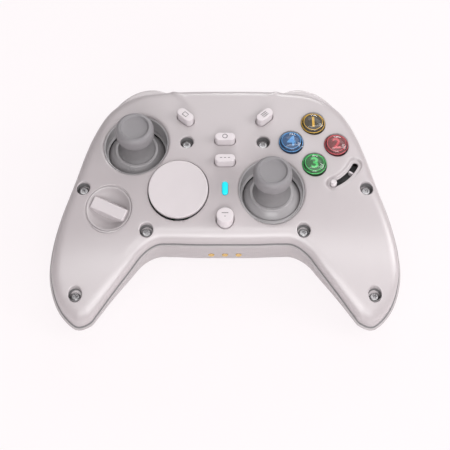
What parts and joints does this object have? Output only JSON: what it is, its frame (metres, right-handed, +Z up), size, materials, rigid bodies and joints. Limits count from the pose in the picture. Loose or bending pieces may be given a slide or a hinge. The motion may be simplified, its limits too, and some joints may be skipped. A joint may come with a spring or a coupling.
{
  "type": "gamepad controller",
  "caption": "Two-handed gamepad with offset thumbsticks, round direction pad, clear domed face buttons, finger-bar dial, arc slider, bumpers and triggers.",
  "frame": {"origin": "on the rest plane, on the flat face of the rear shell, under the middle of the outline", "axes": "+X to the player's right hand, +Y away from the player, +Z up along the axes of sticks and buttons"},
  "size_m": [0.154, 0.1059, 0.0555],
  "materials": {
    "shell_plastic": "fine satin grain",
    "key_plastic": "smooth satin",
    "gloss_white": "polished",
    "stick_rubber": "matte",
    "ring_plastic": "semi-gloss",
    "inner_plastic": "matte",
    "steel": "plain",
    "board_green": "solder mask",
    "battery_blue": "wrapped",
    "silicone": "matte",
    "clear_cap": "clear moulded plastic, polished",
    "core_amber": "polished",
    "core_red": "polished",
    "core_green": "polished",
    "core_blue": "polished",
    "light": "lit window",
    "contact_gold": "gold plated"
  },
  "bodies": {
    "housing": {"front_shell": "shell_plastic", "rear_shell": "shell_plastic", "mid_frame": "inner_plastic", "main_board": "board_green", "battery_pack": "battery_blue", "left_stick_ring": "ring_plastic", "right_stick_ring": "ring_plastic", "left_stick_base": "inner_plastic", "right_stick_base": "inner_plastic", "dpad_post": "inner_plastic", "face_pad": "silicone", "dpad_pad": "silicone", "small_pads": "silicone", "light_pipe": "light", "slider_plate": "ring_plastic", "housing_screws": "steel", "left_bumper_pin": "steel", "right_bumper_pin": "steel", "left_trigger_pin": "steel", "right_trigger_pin": "steel", "left_trigger_spring": "steel", "right_trigger_spring": "steel", "usb_socket": "steel", "charge_contacts": "contact_gold", "left_rumble_can": "steel", "right_rumble_can": "steel"},
    "left_stick_gimbal": {"left_stick_yoke": "steel"},
    "left_stick_rocker": {"left_stick_hub": "inner_plastic"},
    "left_stick_lever": {"left_stick_shaft": "steel", "left_stick_cap": "stick_rubber"},
    "right_stick_gimbal": {"right_stick_yoke": "steel"},
    "right_stick_rocker": {"right_stick_hub": "inner_plastic"},
    "right_stick_lever": {"right_stick_shaft": "steel", "right_stick_cap": "stick_rubber"},
    "dpad_cross": {"dpad_saddle": "steel"},
    "dpad": {"dpad_disc": "key_plastic"},
    "north_button": {"north_cap": "clear_cap", "north_core": "core_amber"},
    "east_button": {"east_cap": "clear_cap", "east_core": "core_red"},
    "south_button": {"south_cap": "clear_cap", "south_core": "core_green"},
    "west_button": {"west_cap": "clear_cap", "west_core": "core_blue"},
    "left_menu_key": {"left_menu_button": "key_plastic"},
    "right_menu_key": {"right_menu_button": "key_plastic"},
    "home_key": {"home_button": "key_plastic"},
    "function_key": {"function_button": "key_plastic"},
    "turbo_key": {"turbo_button": "key_plastic"},
    "dial": {"mode_dial": "shell_plastic"},
    "slider": {"slider_knob": "key_plastic"},
    "left_shoulder": {"left_bumper": "gloss_white"},
    "left_lever": {"left_trigger": "gloss_white"},
    "left_rumble": {"left_rumble_weight": "steel"},
    "right_shoulder": {"right_bumper": "gloss_white"},
    "right_lever": {"right_trigger": "gloss_white"},
    "right_rumble": {"right_rumble_weight": "steel"}
  },
  "joints": [
    {"name": "left_stick_tilt_y", "type": "hinge", "parent": "housing", "child": "left_stick_gimbal", "pos_m": [-0.0392, 0.0211, 0.027], "axis": [1, 0, 0], "range_deg": [-13, 13], "stiffness_Nm_per_rad": 0.06},
    {"name": "left_stick_tilt_x", "type": "hinge", "parent": "left_stick_gimbal", "child": "left_stick_rocker", "pos_m": [-0.0392, 0.0211, 0.027], "axis": [0, 1, 0], "range_deg": [-13, 13], "stiffness_Nm_per_rad": 0.06},
    {"name": "left_stick_click", "type": "slide", "parent": "left_stick_rocker", "child": "left_stick_lever", "axis": [0, 0, -1], "range_m": [0, 0.0006], "stiffness_N_per_m": 2500, "springref_m": -0.0005},
    {"name": "right_stick_tilt_y", "type": "hinge", "parent": "housing", "child": "right_stick_gimbal", "pos_m": [0.0203, -0.0012, 0.027], "axis": [1, 0, 0], "range_deg": [-13, 13], "stiffness_Nm_per_rad": 0.06},
    {"name": "right_stick_tilt_x", "type": "hinge", "parent": "right_stick_gimbal", "child": "right_stick_rocker", "pos_m": [0.0203, -0.0012, 0.027], "axis": [0, 1, 0], "range_deg": [-13, 13], "stiffness_Nm_per_rad": 0.06},
    {"name": "right_stick_click", "type": "slide", "parent": "right_stick_rocker", "child": "right_stick_lever", "axis": [0, 0, -1], "range_m": [0, 0.0006], "stiffness_N_per_m": 2500, "springref_m": -0.0005},
    {"name": "dpad_tilt_y", "type": "hinge", "parent": "housing", "child": "dpad_cross", "pos_m": [-0.02019, -0.00071, 0.0382], "axis": [0.9986, 0, 0.0527], "range_deg": [-4, 4], "stiffness_Nm_per_rad": 0.08},
    {"name": "dpad_tilt_x", "type": "hinge", "parent": "dpad_cross", "child": "dpad", "pos_m": [-0.02019, -0.00071, 0.0382], "axis": [-0.0123, 0.9725, 0.2325], "range_deg": [-4, 4], "stiffness_Nm_per_rad": 0.08},
    {"name": "north_press", "type": "slide", "parent": "housing", "child": "north_button", "axis": [0, 0, -1], "range_m": [0, 0.0014], "stiffness_N_per_m": 400, "springref_m": -0.0006},
    {"name": "east_press", "type": "slide", "parent": "housing", "child": "east_button", "axis": [0, 0, -1], "range_m": [0, 0.0014], "stiffness_N_per_m": 400, "springref_m": -0.0006},
    {"name": "south_press", "type": "slide", "parent": "housing", "child": "south_button", "axis": [0, 0, -1], "range_m": [0, 0.0014], "stiffness_N_per_m": 400, "springref_m": -0.0006},
    {"name": "west_press", "type": "slide", "parent": "housing", "child": "west_button", "axis": [0, 0, -1], "range_m": [0, 0.0014], "stiffness_N_per_m": 400, "springref_m": -0.0006},
    {"name": "left_menu_press", "type": "slide", "parent": "housing", "child": "left_menu_key", "axis": [0, 0, -1], "range_m": [0, 0.0006], "stiffness_N_per_m": 900, "springref_m": -0.0004},
    {"name": "right_menu_press", "type": "slide", "parent": "housing", "child": "right_menu_key", "axis": [0, 0, -1], "range_m": [0, 0.0006], "stiffness_N_per_m": 900, "springref_m": -0.0004},
    {"name": "home_press", "type": "slide", "parent": "housing", "child": "home_key", "axis": [0, 0, -1], "range_m": [0, 0.0006], "stiffness_N_per_m": 900, "springref_m": -0.0004},
    {"name": "function_press", "type": "slide", "parent": "housing", "child": "function_key", "axis": [0, 0, -1], "range_m": [0, 0.0006], "stiffness_N_per_m": 900, "springref_m": -0.0004},
    {"name": "turbo_press", "type": "slide", "parent": "housing", "child": "turbo_key", "axis": [0, 0, -1], "range_m": [0, 0.0006], "stiffness_N_per_m": 900, "springref_m": -0.0004},
    {"name": "dial_turn", "type": "hinge", "parent": "housing", "child": "dial", "pos_m": [-0.0506, -0.008, 0.03565], "axis": [-0.1252, -0.278, 0.9524], "range_deg": [-45, 45]},
    {"name": "slider_run", "type": "hinge", "parent": "housing", "child": "slider", "pos_m": [0.0392, 0.0211, 0.038], "axis": [0, 0, 1], "range_deg": [0, 41]},
    {"name": "left_bumper_swing", "type": "hinge", "parent": "housing", "child": "left_shoulder", "pos_m": [-0.0245, 0.0445, 0.033], "axis": [0, 0, 1], "range_deg": [0, 2.5], "stiffness_Nm_per_rad": 0.6, "springref_deg": -4.58},
    {"name": "left_trigger_pull", "type": "hinge", "parent": "housing", "child": "left_lever", "pos_m": [-0.034, 0.0424, 0.0248], "axis": [-1, 0, 0], "range_deg": [0, 18], "stiffness_Nm_per_rad": 0.05, "springref_deg": -20.05},
    {"name": "left_rumble_spin", "type": "hinge", "parent": "housing", "child": "left_rumble", "pos_m": [-0.0456, -0.012, 0.015], "axis": [1, 0, 0], "continuous": true},
    {"name": "right_bumper_swing", "type": "hinge", "parent": "housing", "child": "right_shoulder", "pos_m": [0.0245, 0.0445, 0.033], "axis": [0, 0, -1], "range_deg": [0, 2.5], "stiffness_Nm_per_rad": 0.6, "springref_deg": -4.58},
    {"name": "right_trigger_pull", "type": "hinge", "parent": "housing", "child": "right_lever", "pos_m": [0.034, 0.0424, 0.0248], "axis": [-1, 0, 0], "range_deg": [0, 18], "stiffness_Nm_per_rad": 0.05, "springref_deg": -20.05},
    {"name": "right_rumble_spin", "type": "hinge", "parent": "housing", "child": "right_rumble", "pos_m": [0.0456, -0.012, 0.015], "axis": [1, 0, 0], "continuous": true}
  ]
}
